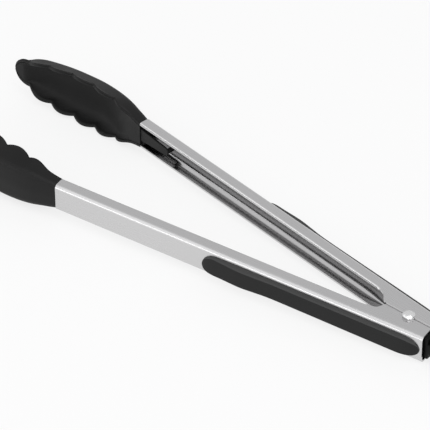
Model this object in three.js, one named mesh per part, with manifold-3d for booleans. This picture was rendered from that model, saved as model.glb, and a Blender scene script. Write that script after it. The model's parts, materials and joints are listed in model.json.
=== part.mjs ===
// Spring loaded kitchen tongs, lying on their side and fully open.
//
// Millimetres, +Z up. The pivot rivet stands along Z, the two heads point to -X and the hanging tab of
// the lock slider points to +X. The origin is the centre of the bounding box's base.
//
// Both arms are the same stamping and both heads the same moulding: the front side (-Y) is the rear
// side (+Y) turned half a turn about X. One side is drawn in "arm coordinates":
//   u = distance from the pivot toward the head, along the arm
//   d = distance outward from the line through the pivot, so the web's outer face is at d = WEB_OUT
//   z = height above the middle of the arm
// which become the mesh's own X = -u, Y = d, Z = z.

import * as THREE from 'three';
import { mergeVertices } from 'three/addons/utils/BufferGeometryUtils.js';
import Module from 'manifold-3d';

const wasm = await Module();
wasm.setup();

// ---- driving dimensions -----------------------------------------------------------------------------------

const OPEN_ANGLE = THREE.MathUtils.degToRad(7.48); // each arm from the centre line, fully open
const GAP = 0.1;            // clearance between faces that rest on each other
const SHEET = 0.9;          // stainless sheet of the arms

const ARM_HEIGHT = 16;      // channel width, over both flanges
const WEB_OUT = 10.2;       // web's outer face from the pivot line
const FLANGE = 6.9;         // flange depth, from the web's outer face to the free edge
const BEND = 2.5;             // outer radius between web and flange
const LIP_RADIUS = 1.25;    // outer radius of the curled free edge
const LIP_HEIGHT = 1.7;     // how far the curl reaches inward
const TAIL = 13.4;          // arm's tail end behind the pivot
const ARM_FRONT = 197.4;    // arm's front end, where the head begins
const LIP_START = 24;       // the curled edges end here, where the ears widen

const PIN_RADIUS = 1.75;
const PIN_HOLE = 1.85;      // running fit on the pin
const RIVET_HEAD_RADIUS = 3.05;
const RIVET_HEAD_HEIGHT = 1.2;

const COIL_RADIUS = 3.5;    // spring, to the middle of the wire
const WIRE_RADIUS = 0.65;
const COIL_TURNS = 5.5;
const COIL_HALF_HEIGHT = 4.35;
const LEG_END = 32;         // where a spring leg meets its web
const LEG_FLAT = 4;         // length of leg that lies on the web

const GRIP_TAIL = -12;      // the grip pad runs from here ...
const GRIP_TAIL_ROUND = 1;  // ... narrowing to its tail before this point
const GRIP_NOSE_ROUND = 101; // ... and to its nose after this one
const GRIP_NOSE = 109.8;

const HEAD_TIP = 285.5;
const WALL = 2.2;           // head's side walls
const FLOOR = 3;            // head's back
const SCALLOP_PITCH = 14.6;
const SCALLOP_HEIGHT = 2.6; // a scallop's rise in the wall's own direction
const TONGUE_FRONT = 3.8;   // tongue in the arm's open side, between these depths
const TONGUE_BACK = 4.8;
const TONGUE_LENGTH = 20.7;

const SLIDER_HALF_WIDTH = 6.5;
const RAIL_INSIDE = 4.6;    // rails pass the coil on both sides
const RAIL_FRONT = -12;
const RAIL_HALF_HEIGHT = 3.2;
const WING_HALF_WIDTH = 7.6;
const TAB_END = 31;
const TAB_HALF_HEIGHT = 3;
const HANG_HOLE_RADIUS = 3.5;

// ---- worked out from them ---------------------------------------------------------------------------------

const HALF = ARM_HEIGHT / 2;
const FREE_EDGE = WEB_OUT - FLANGE;
const WEB_IN = WEB_OUT - SHEET;
const STAGGER = (SHEET + GAP) / 2;              // each arm sits this far off the mid-plane
const EAR_OUT = HALF + STAGGER;                 // outer face of the outer ears
const EAR_IN = HALF - STAGGER - SHEET;          // inner face of the inner ears
const HEAD_START = ARM_FRONT + 0.3;

// ---- helpers ----------------------------------------------------------------------------------------------

// Smooth curve through a few [u, value] points.
function curveThrough(points) {
  const slopes = points.map((_, i) => {
    const a = points[Math.max(i - 1, 0)];
    const b = points[Math.min(i + 1, points.length - 1)];
    return (b[1] - a[1]) / (b[0] - a[0]);
  });
  return (u) => {
    let i = 0;
    while (i < points.length - 2 && u > points[i + 1][0]) i += 1;
    const [u0, v0] = points[i];
    const [u1, v1] = points[i + 1];
    const w = u1 - u0;
    const t = THREE.MathUtils.clamp((u - u0) / w, 0, 1);
    const t2 = t * t;
    const t3 = t2 * t;
    return v0 * (2 * t3 - 3 * t2 + 1) + v1 * (3 * t2 - 2 * t3)
      + slopes[i] * w * (t3 - 2 * t2 + t) + slopes[i + 1] * w * (t3 - t2);
  };
}

// Indexed geometry from positions and triangles, turned so that its faces point out.
function geometryFrom(positions, triangles) {
  let volume = 0;
  const corner = (k) => new THREE.Vector3().fromArray(positions, 3 * k);
  for (let i = 0; i < triangles.length; i += 3) {
    const [a, b, c] = [0, 1, 2].map((k) => corner(triangles[i + k]));
    volume += a.dot(b.cross(c));
  }
  const ordered = triangles.slice();
  if (volume < 0) {
    for (let i = 0; i < ordered.length; i += 3) {
      [ordered[i + 1], ordered[i + 2]] = [ordered[i + 2], ordered[i + 1]];
    }
  }
  const geometry = new THREE.BufferGeometry();
  geometry.setAttribute('position', new THREE.Float32BufferAttribute(positions, 3));
  geometry.setIndex(ordered);
  return geometry;
}

// Closed body through sections at successive u. Each section is a loop of [d, z] with an even number of
// points, whose second half runs back beside the first, so its ends are capped as a ladder of quads.
function loft(stations) {
  const count = stations[0].section.length;
  const positions = [];
  const triangles = [];
  for (const { u, section } of stations) {
    for (const [d, z] of section) positions.push(-u, d, z);
  }
  for (let s = 0; s + 1 < stations.length; s += 1) {
    for (let k = 0; k < count; k += 1) {
      const a = s * count + k;
      const b = s * count + ((k + 1) % count);
      triangles.push(a, b, a + count, b, b + count, a + count);
    }
  }
  const last = (stations.length - 1) * count;
  for (let k = 0; k + 1 < count / 2; k += 1) {
    const [a, b, c, d] = [k, k + 1, count - 2 - k, count - 1 - k];
    triangles.push(a, c, b, a, d, c);
    triangles.push(last + a, last + b, last + c, last + a, last + c, last + d);
  }
  return geometryFrom(positions, triangles);
}

function toSolid(geometry) {
  const bare = geometry.clone();
  bare.deleteAttribute('normal');
  bare.deleteAttribute('uv');
  const merged = mergeVertices(bare, 1e-5);
  return new wasm.Manifold(new wasm.Mesh({
    numProp: 3,
    vertProperties: new Float32Array(merged.attributes.position.array),
    triVerts: new Uint32Array(merged.index.array),
  }));
}

function fromSolid(solid) {
  const mesh = solid.getMesh();
  const geometry = new THREE.BufferGeometry();
  geometry.setAttribute('position', new THREE.BufferAttribute(new Float32Array(mesh.vertProperties), 3));
  geometry.setIndex(new THREE.BufferAttribute(new Uint32Array(mesh.triVerts), 1));
  return geometry;
}

// Straight extrusion of a shape drawn in (x, y), from z = low to z = high.
function plate(shape, low, high, curveSegments = 12) {
  const geometry = new THREE.ExtrudeGeometry(shape, {
    depth: high - low,
    bevelEnabled: false,
    curveSegments,
  });
  return geometry.translate(0, 0, low);
}

function block(x0, x1, y0, y1, z0, z1) {
  const geometry = new THREE.BoxGeometry(x1 - x0, y1 - y0, z1 - z0);
  return geometry.translate((x0 + x1) / 2, (y0 + y1) / 2, (z0 + z1) / 2);
}

function pinCutter(radius, height) {
  return new THREE.CylinderGeometry(radius, radius, height, 32).rotateX(Math.PI / 2);
}

// ---- arm: stamped channel with curled edges and two ears --------------------------------------------------

// Outline of the channel in (d, z); the flanges end in inward curls where lips is true.
function channelShape(lips) {
  const shape = new THREE.Shape();
  const lipIn = LIP_RADIUS - SHEET;
  const lipEnd = HALF - LIP_HEIGHT;
  const quarter = Math.PI / 2;
  const edge = lips ? FREE_EDGE + LIP_RADIUS : FREE_EDGE;
  if (lips) {
    shape.moveTo(FREE_EDGE, lipEnd);
    shape.absarc(edge, HALF - LIP_RADIUS, LIP_RADIUS, 2 * quarter, quarter, true);
  } else {
    shape.moveTo(FREE_EDGE, HALF);
  }
  shape.absarc(WEB_OUT - BEND, HALF - BEND, BEND, quarter, 0, true);
  shape.absarc(WEB_OUT - BEND, BEND - HALF, BEND, 0, -quarter, true);
  if (lips) {
    shape.absarc(edge, LIP_RADIUS - HALF, LIP_RADIUS, -quarter, -2 * quarter, true);
    shape.lineTo(FREE_EDGE, -lipEnd);
    shape.lineTo(FREE_EDGE + SHEET, -lipEnd);
    shape.absarc(edge, LIP_RADIUS - HALF, lipIn, 2 * quarter, 3 * quarter, false);
  } else {
    shape.lineTo(FREE_EDGE, -HALF);
    shape.lineTo(FREE_EDGE, SHEET - HALF);
  }
  shape.absarc(WEB_OUT - BEND, BEND - HALF, BEND - SHEET, -quarter, 0, false);
  shape.absarc(WEB_OUT - BEND, HALF - BEND, BEND - SHEET, 0, quarter, false);
  if (lips) {
    shape.absarc(edge, HALF - LIP_RADIUS, lipIn, quarter, 2 * quarter, false);
    shape.lineTo(FREE_EDGE + SHEET, lipEnd);
  } else {
    shape.lineTo(FREE_EDGE, HALF - SHEET);
  }
  return shape;
}

// Channel between two distances from the pivot: the shape's (d, z) become the mesh's (Y, Z).
function channel(from, to, lips) {
  const geometry = plate(channelShape(lips), from, to, 4);
  const turn = new THREE.Matrix4().makeBasis(
    new THREE.Vector3(0, 1, 0),
    new THREE.Vector3(0, 0, 1),
    new THREE.Vector3(1, 0, 0),
  );
  const mirror = new THREE.Matrix4().makeScale(-1, 1, 1);
  geometry.applyMatrix4(mirror.multiply(turn));
  const index = mergeVertices(stripped(geometry), 1e-5);
  return geometryFrom(Array.from(index.attributes.position.array), Array.from(index.index.array));
}

function stripped(geometry) {
  geometry.deleteAttribute('normal');
  geometry.deleteAttribute('uv');
  return geometry;
}

// Outer ear: its edge lies on the tongs' centre line when open, with a small lobe round the pin.
function outerEarShape() {
  const centreLine = (u) => -u * Math.tan(OPEN_ANGLE);
  const lobe = 2.9;
  const reach = 14.4;
  const start = Math.asin(0.12);
  const shape = new THREE.Shape();
  shape.moveTo(TAIL, WEB_OUT - BEND);
  shape.lineTo(TAIL, centreLine(-TAIL));
  shape.lineTo(lobe * Math.cos(start), centreLine(-lobe));
  shape.absarc(0, 0, lobe, -start, Math.PI + start, true);
  shape.lineTo(1 - reach, centreLine(reach - 1));
  shape.quadraticCurveTo(-reach, centreLine(reach), -reach - 0.5, centreLine(reach) + 0.7);
  shape.quadraticCurveTo(-17.6, FREE_EDGE - 1, -LIP_START, FREE_EDGE);
  shape.lineTo(-LIP_START, WEB_OUT - BEND);
  return shape;
}

// Inner ear: a full round eye that turns under the other arm's outer ear.
function innerEarShape() {
  const eye = 5.2;
  const shape = new THREE.Shape();
  shape.moveTo(TAIL, WEB_OUT - BEND);
  shape.lineTo(TAIL, 1.2);
  shape.quadraticCurveTo(7, 0, eye * Math.cos(-0.7), eye * Math.sin(-0.7));
  shape.absarc(0, 0, eye, -0.7, Math.PI + 0.9, true);
  shape.quadraticCurveTo(-12, -4.2, -14.3, -0.7);
  shape.quadraticCurveTo(-16, FREE_EDGE - 0.4, -19.5, FREE_EDGE);
  shape.lineTo(-LIP_START, FREE_EDGE);
  shape.lineTo(-LIP_START, WEB_OUT - BEND);
  return shape;
}

function armGeometry() {
  const ears = [
    plate(outerEarShape(), HALF - SHEET, HALF),
    plate(innerEarShape(), -HALF, SHEET - HALF),
  ];
  let solid = toSolid(channel(LIP_START, ARM_FRONT, true));
  for (const piece of [channel(-TAIL, LIP_START, false), ...ears]) solid = solid.add(toSolid(piece));
  return fromSolid(solid.subtract(toSolid(pinCutter(PIN_HOLE, ARM_HEIGHT + 4))));
}

// ---- head: nylon scoop with scalloped rims, a plug, a tongue and a hook -----------------------------------

const backDepth = curveThrough([
  [HEAD_START, WEB_OUT], [205, 11.2], [213, 12.3], [222, 12.6], [233, 12], [245, 10.1], [256, 7.9],
  [266, 5], [274, 2.2], [276.5, 0.2], [278.5, -2.4], [281, -4], [HEAD_TIP, -5.6],
]);
const rimDepth = curveThrough([
  [HEAD_START, 3.3], [206, 3.4], [217.4, 3.4], [232.4, 2], [247.1, -0.1], [261.1, -3], [275.9, -5.3],
  [HEAD_TIP, -7],
]);
const shoulderWidth = curveThrough([
  [HEAD_START, 8], [204, 8.8], [213, 9.9], [226, 10.6], [245, 10.4], [258, 9.8], [268, 9.2], [275, 8.2],
  [278, 6.6], [281, 6.2],
]);
const rimWidth = curveThrough([
  [HEAD_START, 8], [202, 8.9], [206, 10], [212, 11.8], [217.4, 13], [232.4, 14.1], [247.1, 13.9],
  [261.1, 12.4], [269, 10.9], [275.9, 8.5],
]);
const TIP_LOBE_START = 275.9;

// Half widths narrow to the tip as a quarter of an ellipse.
function tipRound(u) {
  const along = Math.max(0, (u - TIP_LOBE_START) / (HEAD_TIP - TIP_LOBE_START));
  return Math.sqrt(Math.max(0, 1 - along ** 2.2));
}

// Height of the rim's scallops, 0 in the valleys and 1 on a crest.
function scallop(u) {
  const first = 203;
  if (u < first || u > TIP_LOBE_START) return 0;
  const phase = Math.abs(Math.sin((Math.PI * (TIP_LOBE_START - u)) / SCALLOP_PITCH));
  const grow = THREE.MathUtils.smoothstep(u, first, first + SCALLOP_PITCH);
  return grow * phase ** 0.8;
}

// Outer face of half a section, as [d, z]: flat back, round shoulder, wall up to the scalloped rim.
function outerSection(back, shoulder, rim, crest) {
  const round = Math.min(3, shoulder.y * 0.5);
  const toBack = new THREE.Vector2().subVectors(back, shoulder).normalize();
  const toRim = new THREE.Vector2().subVectors(rim, shoulder).normalize();
  const start = shoulder.clone().addScaledVector(toBack, round);
  const end = shoulder.clone().addScaledVector(toRim, round);
  const top = rim.clone().addScaledVector(toRim, SCALLOP_HEIGHT * crest);
  const bend = new THREE.QuadraticBezierCurve(start, shoulder, end);
  const wall = [1, 2, 3].map((i) => end.clone().lerp(top, i / 3));
  return [back.clone(), back.clone().lerp(start, 0.5), ...bend.getPoints(3), ...wall];
}

// Inner face of half a section: a round bowl whose last points rise with the scallops.
function bowlSection(deep, rim, lift, count) {
  const power = 2 / 2.6;
  const points = [];
  for (let i = 0; i < count; i += 1) {
    const share = i / (count - 1);
    const angle = (Math.PI / 2) * share;
    const d = rim.x + (deep - rim.x) * Math.max(Math.cos(angle), 0) ** power;
    const point = new THREE.Vector2(i + 1 < count ? d : rim.x, rim.y * Math.sin(angle) ** power);
    points.push(point.addScaledVector(lift, THREE.MathUtils.smoothstep(share, 0.5, 1)));
  }
  return points;
}

function headSection(u) {
  const narrow = tipRound(u);
  const back = backDepth(u);
  const rim = rimDepth(u);
  const width = Math.max(rimWidth(u) * narrow, 1.2);
  const shoulder = Math.max(Math.min(shoulderWidth(u) * narrow, width - 0.3), 0.8);
  const rimPoint = new THREE.Vector2(rim, width);
  const outer = outerSection(
    new THREE.Vector2(back, 0),
    new THREE.Vector2(back - 0.5, shoulder),
    rimPoint,
    scallop(u),
  );
  const hollow = THREE.MathUtils.smoothstep(u, HEAD_START + 3, HEAD_START + 40);
  const deep = rim + hollow * Math.max(back - FLOOR - rim, 0.05);
  const wall = Math.min(WALL, width * 0.45);
  const lift = outer[outer.length - 1].clone().sub(rimPoint);
  const inner = bowlSection(deep, new THREE.Vector2(rim, width - wall), lift, outer.length);
  const mirrored = (points) => points.slice(1).reverse().map((p) => [p.x, -p.y]);
  const plain = (points) => points.map((p) => [p.x, p.y]);
  return [
    ...mirrored(outer), ...plain(outer),
    ...plain(inner).reverse(), ...mirrored(inner).reverse(),
  ];
}

const tongueHalf = curveThrough([
  [HEAD_START - TONGUE_LENGTH, 1.7], [HEAD_START - TONGUE_LENGTH + 1, 2.2], [180.5, 2.5], [186, 2.8],
  [190, 3.1], [HEAD_START + 3, 4],
]);

// Flat tongue that runs from the plug into the arm, narrower toward its end.
function tongueGeometry() {
  const start = HEAD_START - TONGUE_LENGTH;
  const stations = [0, 1, 3, 7, 12, 18, TONGUE_LENGTH + 3].map((along) => {
    const half = tongueHalf(start + along);
    const front = [[TONGUE_FRONT, -half], [TONGUE_FRONT, half]];
    return { u: start + along, section: [[TONGUE_BACK, -half], ...front, [TONGUE_BACK, half]] };
  });
  return loft(stations);
}

function headGeometry() {
  const stations = [];
  const steps = 42;
  for (let i = 0; i <= steps; i += 1) {
    stations.push(HEAD_START + (TIP_LOBE_START - HEAD_START) * (i / steps));
  }
  const tipSteps = 7;
  for (let i = 1; i <= tipSteps; i += 1) {
    const quarter = (Math.PI / 2) * (i / tipSteps);
    stations.push(TIP_LOBE_START + (HEAD_TIP - TIP_LOBE_START) * Math.sin(quarter));
  }
  const scoop = loft(stations.map((u) => ({ u, section: headSection(u) })));
  const plugHalf = HALF - SHEET - 0.9;
  const plug = block(-HEAD_START - 1, -HEAD_START + 1.9, FREE_EDGE + 1.3, WEB_IN - 0.9, -plugHalf, plugHalf);
  const hookStart = TONGUE_LENGTH - HEAD_START - 1.8;
  const hook = block(hookStart, hookStart + 1.4, TONGUE_FRONT + 0.2, WEB_IN - 0.2, -1.4, 1.4);
  const pieces = [plug, tongueGeometry(), hook];
  return fromSolid(pieces.reduce((solid, piece) => solid.add(toSolid(piece)), toSolid(scoop)));
}

// ---- grip: soft pad on the web's outer face ---------------------------------------------------------------

const gripHalf = curveThrough([
  [0, 5.55], [20, 5.5], [54, 5.4], [74, 5.4], [80, 5.6], [87, 5.8], [98, 5.7], [GRIP_NOSE_ROUND, 5.7],
]);
const gripShift = curveThrough([
  [0, 0.35], [20, 0.25], [54, 0.05], [70, 0.05], [80, 0.4], [87, 0.65], [98, 0.65], [GRIP_NOSE_ROUND, 0.7],
]);
const gripThick = curveThrough([
  [GRIP_TAIL, 1], [-8, 1.9], [0, 2.2], [54, 2.3], [72, 2.3], [80, 2.5], [87, 2.6], [93, 2.3], [100, 1.8],
  [105, 1.5], [GRIP_NOSE, 1.3],
]);

// Section of the pad: flat back, tapered sides, chamfered face.
function gripSection(u) {
  const tail = Math.max(0, (GRIP_TAIL_ROUND - u) / (GRIP_TAIL_ROUND - GRIP_TAIL));
  const nose = Math.max(0, (u - GRIP_NOSE_ROUND) / (GRIP_NOSE - GRIP_NOSE_ROUND));
  const end = Math.max(0, 1 - Math.max(tail, nose) ** 2.4) ** 0.45;
  const half = Math.max(gripHalf(u) * end, 0.3);
  const middle = gripShift(u) + 1.3 * nose ** 2;
  const thick = gripThick(u) * Math.max(end, 0.35);
  const face = WEB_OUT + GAP;
  const edge = face + thick * 0.75;
  const taper = Math.min(thick * 0.15, half * 0.1);
  const chamfer = Math.min(thick * 0.5, half * 0.6);
  return [
    [face, middle - half], [edge, middle - half + taper], [face + thick, middle - half + chamfer],
    [face + thick, middle + half - chamfer], [edge, middle + half - taper], [face, middle + half],
  ];
}

function gripGeometry() {
  const stations = [];
  const tailSteps = 8;
  for (let i = 0; i <= tailSteps; i += 1) {
    const quarter = (Math.PI / 2) * (i / tailSteps);
    stations.push(GRIP_TAIL + (GRIP_TAIL_ROUND - GRIP_TAIL) * (1 - Math.cos(quarter)));
  }
  const steps = 22;
  for (let i = 1; i <= steps; i += 1) {
    stations.push(GRIP_TAIL_ROUND + (GRIP_NOSE_ROUND - GRIP_TAIL_ROUND) * (i / steps));
  }
  const noseSteps = 8;
  for (let i = 1; i <= noseSteps; i += 1) {
    const quarter = (Math.PI / 2) * (i / noseSteps);
    stations.push(GRIP_NOSE_ROUND + (GRIP_NOSE - GRIP_NOSE_ROUND) * Math.sin(quarter));
  }
  return loft(stations.map((u) => ({ u, section: gripSection(u) })));
}

// ---- pivot: rivet, bush and torsion spring ----------------------------------------------------------------

function rivetGeometry() {
  const under = EAR_OUT + GAP;
  const top = under + RIVET_HEAD_HEIGHT;
  const dome = [];
  const steps = 6;
  for (let i = 0; i <= steps; i += 1) {
    const quarter = (Math.PI / 2) * (i / steps);
    dome.push([RIVET_HEAD_RADIUS * Math.cos(quarter), under + (top - under) * Math.sin(quarter)]);
  }
  const upper = [[PIN_RADIUS, under], ...dome];
  const lower = upper.map(([r, z]) => [r, -z]).reverse();
  const profile = [...lower, ...upper].map(([r, z]) => new THREE.Vector2(Math.max(r, 0), z));
  profile[0].x = 0;
  profile[profile.length - 1].x = 0;
  return new THREE.LatheGeometry(profile, 32).rotateX(Math.PI / 2);
}

function bushGeometry() {
  const end = EAR_IN - GAP;
  const flange = 0.9;
  const body = COIL_RADIUS - WIRE_RADIUS - 0.2;
  const wide = 4.4;
  const profile = [
    [PIN_HOLE, -end], [wide, -end], [wide, flange - end], [body, flange - end],
    [body, end - flange], [wide, end - flange], [wide, end], [PIN_HOLE, end], [PIN_HOLE, -end],
  ];
  return new THREE.LatheGeometry(profile.map(([r, z]) => new THREE.Vector2(r, z)), 32).rotateX(Math.PI / 2);
}

// Wire from the front web, round the bush and on to the rear web.
function springGeometry() {
  const onWeb = (u) => {
    const d = WEB_IN - WIRE_RADIUS - GAP;
    return new THREE.Vector2(
      -u * Math.cos(OPEN_ANGLE) + d * Math.sin(OPEN_ANGLE),
      u * Math.sin(OPEN_ANGLE) + d * Math.cos(OPEN_ANGLE),
    );
  };
  const leg = [LEG_END + LEG_FLAT, LEG_END, LEG_END - 1].map(onWeb);
  leg[2].lerp(new THREE.Vector2(0, COIL_RADIUS), 0.06);
  const points = leg.map((p) => new THREE.Vector3(p.x, -p.y, -COIL_HALF_HEIGHT));
  points.push(new THREE.Vector3(-8, -COIL_RADIUS - 1.6, -COIL_HALF_HEIGHT));
  const perTurn = 12;
  const steps = COIL_TURNS * perTurn;
  for (let i = 0; i <= steps; i += 1) {
    const angle = -Math.PI / 2 + (2 * Math.PI * i) / perTurn;
    const height = COIL_HALF_HEIGHT * ((2 * i) / steps - 1);
    points.push(new THREE.Vector3(COIL_RADIUS * Math.cos(angle), COIL_RADIUS * Math.sin(angle), height));
  }
  points.push(new THREE.Vector3(-8, COIL_RADIUS + 1.6, COIL_HALF_HEIGHT));
  leg.reverse().forEach((p) => points.push(new THREE.Vector3(p.x, p.y, COIL_HALF_HEIGHT)));
  const section = new THREE.Shape().absarc(0, 0, WIRE_RADIUS, 0, 2 * Math.PI, false);
  return new THREE.ExtrudeGeometry(section, {
    steps: 130,
    curveSegments: 4,
    bevelEnabled: false,
    extrudePath: new THREE.CatmullRomCurve3(points),
  });
}

// ---- lock slider: fork round the spring, wedge wings and hanging tab --------------------------------------

function tabShape() {
  const round = SLIDER_HALF_WIDTH;
  const shape = new THREE.Shape();
  shape.moveTo(12, -SLIDER_HALF_WIDTH);
  shape.lineTo(TAB_END - round, -SLIDER_HALF_WIDTH);
  shape.absarc(TAB_END - round, 0, round, -Math.PI / 2, Math.PI / 2, false);
  shape.lineTo(12, SLIDER_HALF_WIDTH);
  const hole = new THREE.Path();
  hole.absarc(TAB_END - round - 1, 0, HANG_HOLE_RADIUS, 0, 2 * Math.PI, true);
  shape.holes.push(hole);
  return shape;
}

function sliderGeometry() {
  const blockStart = COIL_RADIUS + WIRE_RADIUS + 1.5;
  const blockHalf = EAR_IN - 0.4;
  const pieces = [
    plate(tabShape(), -TAB_HALF_HEIGHT, TAB_HALF_HEIGHT),
    block(blockStart, 16.5, -SLIDER_HALF_WIDTH, SLIDER_HALF_WIDTH, -blockHalf, blockHalf),
  ];
  for (const side of [-1, 1]) {
    const rail = [side * RAIL_INSIDE, side * SLIDER_HALF_WIDTH].sort((a, b) => a - b);
    const wing = [side * RAIL_INSIDE, side * WING_HALF_WIDTH].sort((a, b) => a - b);
    pieces.push(block(RAIL_FRONT, blockStart + 1, rail[0], rail[1], -RAIL_HALF_HEIGHT, RAIL_HALF_HEIGHT));
    pieces.push(block(-9, -4, wing[0], wing[1], -RAIL_HALF_HEIGHT, RAIL_HALF_HEIGHT));
  }
  return fromSolid(pieces.map(toSolid).reduce((solid, piece) => solid.add(piece)));
}

// ---- materials and assembly -------------------------------------------------------------------------------

const steel = new THREE.MeshStandardMaterial({ color: 0xc4c3c4, roughness: 0.32, metalness: 1 });
const polished = new THREE.MeshStandardMaterial({ color: 0xd8d8d8, roughness: 0.15, metalness: 1 });
const springSteel = new THREE.MeshStandardMaterial({ color: 0xa9a9ab, roughness: 0.3, metalness: 1 });
const nylon = new THREE.MeshStandardMaterial({ color: 0x262626, roughness: 0.55, metalness: 0 });
const softGrip = new THREE.MeshStandardMaterial({ color: 0x2b2b2b, roughness: 0.7, metalness: 0 });

function named(name, geometry, material) {
  const mesh = new THREE.Mesh(geometry, material);
  mesh.name = name;
  return mesh;
}

function armAssembly(side) {
  const arm = new THREE.Group();
  arm.add(named(`${side}_arm`, armGeometry(), steel));
  arm.add(named(`${side}_head`, headGeometry(), nylon));
  arm.add(named(`${side}_grip`, gripGeometry(), softGrip));
  arm.rotation.z = -OPEN_ANGLE;
  arm.position.z = STAGGER;
  return arm;
}

const rear = armAssembly('rear');
const front = new THREE.Group();
front.add(armAssembly('front'));
front.rotation.x = Math.PI;

const tongs = new THREE.Group();
tongs.add(rear, front);
tongs.add(named('pivot_rivet', rivetGeometry(), polished));
tongs.add(named('spring_bush', bushGeometry(), nylon));
tongs.add(named('torsion_spring', springGeometry(), springSteel));
tongs.add(named('lock_slider', sliderGeometry(), nylon));

// Put the origin at the centre of the bounding box's base.
const box = new THREE.Box3().setFromObject(tongs, true);
const centre = box.getCenter(new THREE.Vector3());
tongs.position.set(-centre.x, -centre.y, -box.min.z);

const part = new THREE.Group();
part.add(tongs);

export default part;
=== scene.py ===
"""Spring loaded kitchen tongs: the looks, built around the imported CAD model.

Lengths are millimetres, turned into metres when a mesh is made. One side of the tongs is drawn in arm
coordinates: u runs from the pivot toward the head, d outward from the pivot line, z up from the middle of
the arm. The front side is the rear side turned half a turn about X.
"""

import json
import math

import bmesh
import bpy
import numpy as np
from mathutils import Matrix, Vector


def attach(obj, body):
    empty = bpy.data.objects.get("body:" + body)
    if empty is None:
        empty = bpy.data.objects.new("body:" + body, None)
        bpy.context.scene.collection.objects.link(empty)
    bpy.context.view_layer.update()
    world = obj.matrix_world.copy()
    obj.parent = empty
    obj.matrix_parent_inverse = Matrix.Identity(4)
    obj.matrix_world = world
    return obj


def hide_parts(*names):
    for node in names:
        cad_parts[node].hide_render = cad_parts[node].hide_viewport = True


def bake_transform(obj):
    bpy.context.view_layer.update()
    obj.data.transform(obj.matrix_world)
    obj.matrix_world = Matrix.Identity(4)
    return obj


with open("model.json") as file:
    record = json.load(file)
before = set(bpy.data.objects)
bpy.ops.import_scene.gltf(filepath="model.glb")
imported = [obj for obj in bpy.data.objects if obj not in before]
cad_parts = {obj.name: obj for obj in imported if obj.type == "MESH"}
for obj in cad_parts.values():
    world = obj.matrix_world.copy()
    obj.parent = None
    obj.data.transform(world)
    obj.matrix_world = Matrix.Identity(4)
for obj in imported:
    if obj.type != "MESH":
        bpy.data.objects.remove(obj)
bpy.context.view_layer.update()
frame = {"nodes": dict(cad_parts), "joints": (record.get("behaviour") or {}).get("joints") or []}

MM = 0.001
HINGE = next(j for j in frame["joints"] if j["name"] == "front_arm_hinge")
PIVOT = np.array(HINGE["pos_m"])
SIDES = ("rear", "front")

# ---- driving dimensions, as in the CAD model ---------------------------------------------------------------

OPEN_ANGLE = math.radians(7.48)
GAP = 0.1
SHEET = 0.9
HALF = 8.0                 # half the arm's height
WEB_OUT = 10.2
WEB_IN = WEB_OUT - SHEET
FREE_EDGE = 3.3            # the curled edges' outer face
BEND = 2.5                 # outer radius between web and flange
LIP_RADIUS = 0.95
LIP_STRAIGHT = 0.6
TAIL = 13.4
ARM_FRONT = 197.4
STAGGER = (SHEET + GAP) / 2
EAR_OUT = HALF + STAGGER
EAR_IN = HALF - STAGGER - SHEET

PIN_RADIUS = 1.75
PIN_HOLE = 1.85
RIVET_RADIUS = 3.05
RIVET_HEIGHT = 1.2
RIVET_EDGE = 0.1           # height of the head's rounded edge
BUSH_FLANGE = 0.9
BUSH_FLANGE_RADIUS = 4.4
COIL_RADIUS = 3.5
WIRE_RADIUS = 0.65
COIL_TURNS = 5.5
COIL_HALF_HEIGHT = 4.35
LEG_END = 32.0

GRIP_TAIL = -12.0
GRIP_TAIL_ROUND = 1.0      # the pad narrows to its tail before this point
GRIP_NOSE_ROUND = 101.0
GRIP_NOSE = 109.8

HEAD_START = ARM_FRONT + 0.3
HEAD_TIP = 285.5
TIP_LOBE_START = 275.9
WALL = 2.2
FLOOR_THICK = 3.0
SCALLOP_START = 203.0
SCALLOP_PITCH = 14.6
SCALLOP_HEIGHT = 2.6
TONGUE_FRONT = 3.8
TONGUE_BACK = 4.8
TONGUE_END = HEAD_START - 20.7
PLUG_BACK = 1.9            # how far the plug reaches into the arm
PLUG_ROOM = 0.9            # room left between the plug and the sheet
HOOK_HALF_WIDTH = 1.4
HOOK_THICK = 1.4

SLIDER_HALF_WIDTH = 6.5
SLIDER_BODY_END = 16.5
RAIL_INSIDE = 4.6
RAIL_HALF_HEIGHT = 3.2
RAIL_FRONT = -12.0
WING_FRONT = -9.0
WING_BACK = -4.0
WING_HALF_WIDTH = 7.6
TAB_START = 12.0
TAB_END = 31.0
TAB_HALF_HEIGHT = 3.0
HANG_HOLE_RADIUS = 3.5

# ---- shape helpers -----------------------------------------------------------------------------------------


def curve_through(points):
    """Smooth curve through a few (u, value) points, the same rule as in the CAD model."""
    us = [p[0] for p in points]
    vs = [p[1] for p in points]
    last = len(points) - 1
    slopes = []
    for i in range(len(points)):
        a, b = max(i - 1, 0), min(i + 1, last)
        slopes.append((vs[b] - vs[a]) / (us[b] - us[a]))

    def value(u):
        i = 0
        while i < last - 1 and u > us[i + 1]:
            i += 1
        w = us[i + 1] - us[i]
        t = min(max((u - us[i]) / w, 0.0), 1.0)
        t2, t3 = t * t, t * t * t
        ends = vs[i] * (2 * t3 - 3 * t2 + 1) + vs[i + 1] * (3 * t2 - 2 * t3)
        return ends + slopes[i] * w * (t3 - 2 * t2 + t) + slopes[i + 1] * w * (t3 - t2)

    return value


def smoothstep(x, low, high):
    t = min(max((x - low) / (high - low), 0.0), 1.0)
    return t * t * (3 - 2 * t)


def steps(start, end, count):
    """count values after start, up to and including end."""
    return [start + (end - start) * (i + 1) / count for i in range(count)]


def bezier(a, b, c, count):
    """Points of a quadratic curve from a to c, drawn toward b."""
    points = []
    for i in range(count + 1):
        t = i / count
        points.append(a * (1 - t) ** 2 + b * 2 * t * (1 - t) + c * t * t)
    return points


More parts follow.
